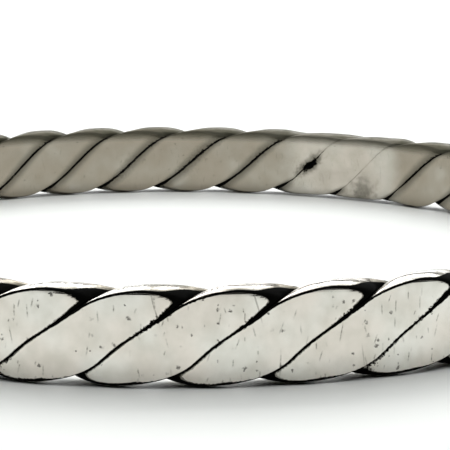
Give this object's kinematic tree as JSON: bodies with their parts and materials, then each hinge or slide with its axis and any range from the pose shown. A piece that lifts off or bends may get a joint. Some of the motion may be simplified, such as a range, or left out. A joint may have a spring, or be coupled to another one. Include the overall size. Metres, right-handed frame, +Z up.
{
  "type": "twisted wire bangle",
  "caption": "Closed rigid bangle of thick silver wires twisted into a rope, rolled flat and soldered end to end, lying on its side.",
  "frame": {"origin": "centre of the ring, on the surface that the bangle lies on", "axes": "+Z up along the axis of the hollow, -Y towards the front of the ring, and the soldered joint at the back right, between +X and +Y"},
  "size_m": [0.069, 0.069, 0.0062],
  "materials": {
    "silver": "polished sterling silver, worn, with black sulphide patina left in the grooves",
    "solder": "hard silver solder, filed and polished with the band"
  },
  "bodies": {
    "root": {"strand_a": "silver", "strand_b": "silver", "strand_c": "silver", "solder_joint": "solder"}
  },
  "joints": []
}
